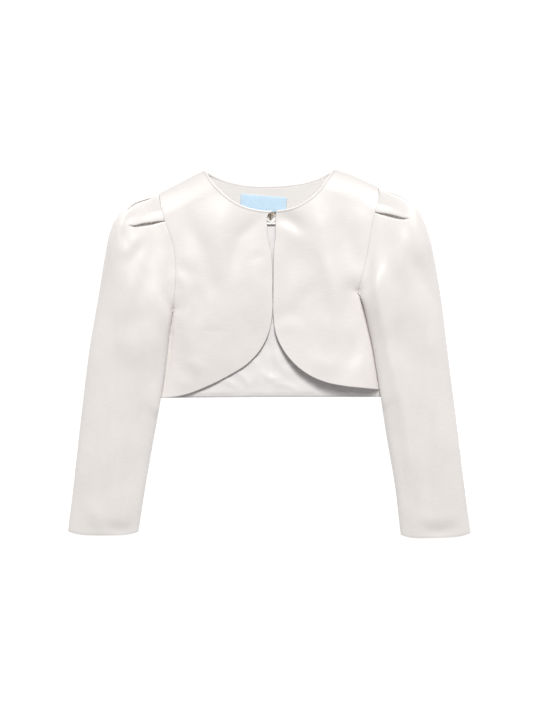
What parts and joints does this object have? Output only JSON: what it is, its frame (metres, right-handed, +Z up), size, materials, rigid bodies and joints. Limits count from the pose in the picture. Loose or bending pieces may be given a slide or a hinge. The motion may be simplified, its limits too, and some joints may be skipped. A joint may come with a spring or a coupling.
{
  "type": "bolero jacket",
  "caption": "Child's cropped satin bolero with a round neck, rounded cutaway fronts and long sleeves with pleated puffed heads, laid flat, front side up.",
  "frame": {"origin": "on the surface that the jacket lies on, under the centre of its box", "axes": "+X across the jacket from the sleeve at the picture's left to the one at its right, +Y towards the neck, +Z up out of the surface, from the back to the fronts"},
  "size_m": [0.4828, 0.4429, 0.0243],
  "materials": {
    "satin": "satin",
    "lining": "satin",
    "label": "matte",
    "metal": "satin"
  },
  "bodies": {
    "root": {"back": "satin", "front_left": "satin", "front_right": "satin", "sleeve_left": "satin", "sleeve_right": "satin", "back_neck_facing": "satin", "back_lining": "lining", "label": "label", "hook": "metal", "eye": "metal"}
  },
  "joints": []
}
